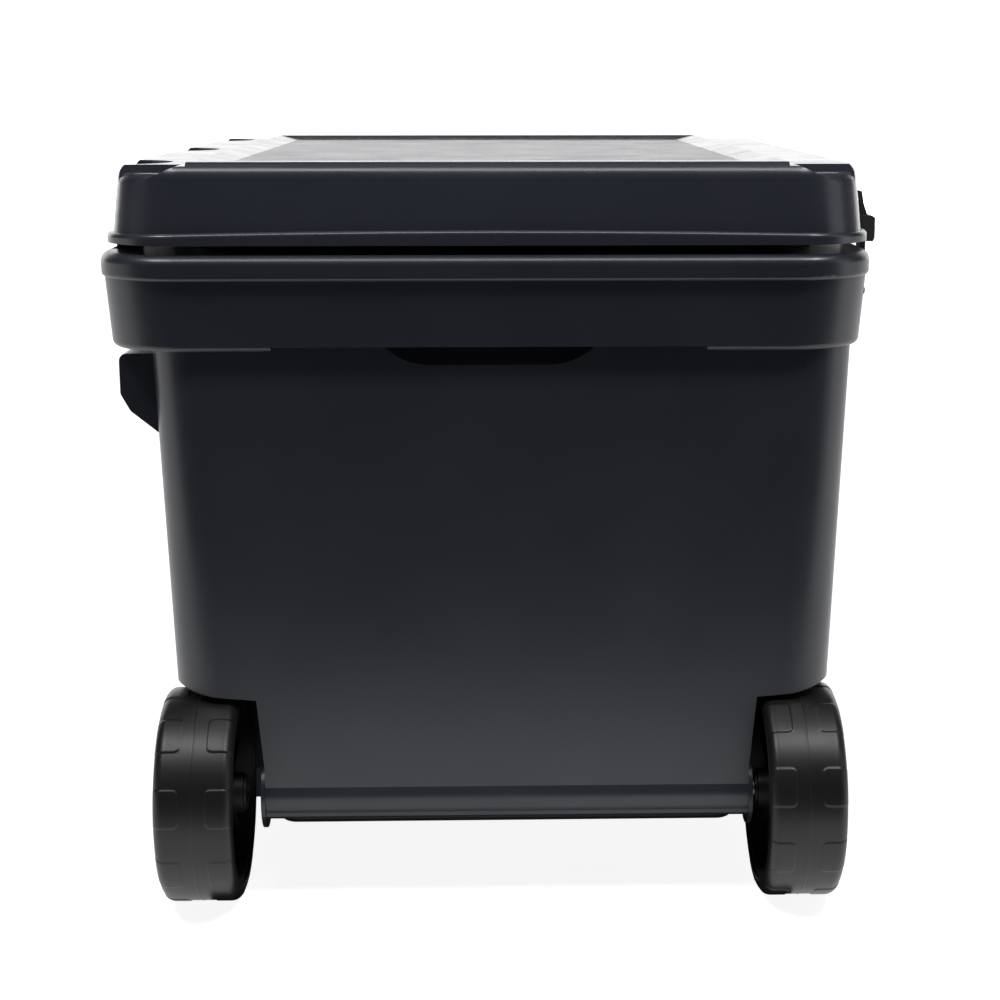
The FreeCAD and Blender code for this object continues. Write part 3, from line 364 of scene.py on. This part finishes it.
def grip_radius(x, length, radius):
    """The grip's outside at x: round ends, and grooves between its plain bands."""
    inward = min(x, length - x)
    if inward < GRIP_END:
        return radius - GRIP_END + math.sqrt(GRIP_END ** 2 - (GRIP_END - inward) ** 2)
    if inward < GRIP_PLAIN:
        return radius
    turn = (x - GRIP_PLAIN) / (length - 2 * GRIP_PLAIN) * GRIP_RIBS
    wave = 0.5 - 0.5 * math.cos(2 * math.pi * turn)
    return radius - GRIP_GROOVE * smooth(GROOVE_WIDTH * wave - GROOVE_REST)


def make_grip():
    """The soft grip on the tow bow, with grooves round it."""
    low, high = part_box("tow_grip")
    length, radius = high.x - low.x, (high.z - low.z) / 2
    middle = (low + high) / 2
    stations = [length * step / GRIP_STATIONS for step in range(GRIP_STATIONS + 1)]
    profile = [(x, grip_radius(x, length, radius)) for x in stations]
    profile = [(0, BOW_R)] + profile + [(length, BOW_R)]
    verts = [(low.x + x, middle.y + r * math.cos(2 * math.pi * step / GRIP_STEPS),
              middle.z + r * math.sin(2 * math.pi * step / GRIP_STEPS))
             for step in range(GRIP_STEPS) for x, r in profile]
    count = len(profile)
    faces = []
    for step in range(GRIP_STEPS):
        here, ahead = step * count, (step + 1) % GRIP_STEPS * count
        for index in range(count):
            after = (index + 1) % count
            faces.append((here + index, ahead + index, ahead + after, here + after))
    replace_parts(make_piece("tow_grip_sleeve", verts, faces, "rubber", "tow_handle"), "tow_grip")


# ---------------------------------------------------------------- studio

PAPER_COLOUR = (0.4, 0.4, 0.4)
FLAG_COLOUR = (0.01, 0.01, 0.01)
FLOOR_HALF = 60
FLOOR_GLOW = 0.9
BACKDROP_GLOW = 2.0
WORLD_GLOW = 0.02


def area_light(name, place, target, size, power):
    """A soft rectangular light of a size in metres, aimed at a place."""
    data = bpy.data.lights.new(name, "AREA")
    data.shape = "RECTANGLE"
    data.size, data.size_y = size
    data.energy = power
    light = bpy.data.objects.new(name, data)
    light.location = place
    light.rotation_euler = (Vector(target) - Vector(place)).to_track_quat("-Z", "Y").to_euler()
    bpy.context.scene.collection.objects.link(light)


def stage_sheet(name, corners, colour, glow=0):
    """A plain sheet of the set, which may glow a little, as lit paper does."""
    mesh = bpy.data.meshes.new(name)
    mesh.from_pydata(corners, [], [(0, 1, 2, 3)])
    paper = moulded(name, colour, 0.7, grain=300, vary=0.01, specular=0.1)
    paper.shader.inputs["Emission Color"].default_value = (1, 1, 1, 1)
    paper.shader.inputs["Emission Strength"].default_value = glow
    mesh.materials.append(paper.material)
    sheet = bpy.data.objects.new(name, mesh)
    bpy.context.scene.collection.objects.link(sheet)
    return sheet


def make_flags():
    """Two black sheets that the camera doesn't see. They keep the floor's glow off the front of the
    tub, above its lowest part, and off its underside."""
    front = [(-2.5, -0.60, 0.02), (2.5, -0.60, 0.02), (2.5, -1.36, 0.47), (-2.5, -1.36, 0.47)]
    under = [(-0.19, -0.3, 0.004), (0.19, -0.3, 0.004), (0.19, 0.3, 0.004), (-0.19, 0.3, 0.004)]
    for name, corners in (("flag", front), ("under_flag", under)):
        sheet = stage_sheet(name, corners, FLAG_COLOUR)
        sheet.visible_camera = False
        sheet.visible_shadow = False


def make_lights():
    """A strip in front and above, a small key at each side of it, a weak overhead and a dim panel
    on each side."""
    area_light("overhead", (0, 0.1, 2.2), (0, 0.1, 0), (3.0, 1.6), 4)
    area_light("front_top", (0, -0.95, 2.2), (0, -0.4, 0.3), (2.6, 0.45), 30)
    for name, side in (("key_left", -1), ("key_right", 1)):
        area_light(name, (side * 1.05, -0.85, 2.15), (side * 0.2, -0.28, 0.4), (0.3, 0.22), 12)
    for name, side, power in (("left_panel", -1, 1), ("right_panel", 1, 4.5)):
        area_light(name, (side * 2.0, -0.7, 0.8), (0, -0.1, 0.25), (1.0, 1.6), power)


def make_studio():
    """A white floor, a bright backdrop, the flags, the lights and a nearly black world."""
    floor = [(x * FLOOR_HALF, y * FLOOR_HALF, 0) for x, y in ((-1, -1), (1, -1), (1, 1), (-1, 1))]
    stage_sheet("floor", floor, PAPER_COLOUR, FLOOR_GLOW)
    backdrop = [(-6, 5.5, -1), (6, 5.5, -1), (6, 5.5, 3), (-6, 5.5, 3)]
    stage_sheet("backdrop", backdrop, PAPER_COLOUR, BACKDROP_GLOW)
    make_flags()
    make_lights()
    world = bpy.data.worlds.new("world")
    bpy.context.scene.world = world
    world.use_nodes = True
    background = world.node_tree.nodes["Background"]
    background.inputs["Color"].default_value = (1, 1, 1, 1)
    background.inputs["Strength"].default_value = WORLD_GLOW
    bpy.context.scene.view_settings.view_transform = "Standard"


make_camera()
looks = paint_nodes()
make_tyre("tyre_tread_left", "tyre_left", "wheel_left", LEFT_TURN)
make_tyre("tyre_tread_right", "tyre_right", "wheel_right", RIGHT_TURN)
make_grip()
make_studio()
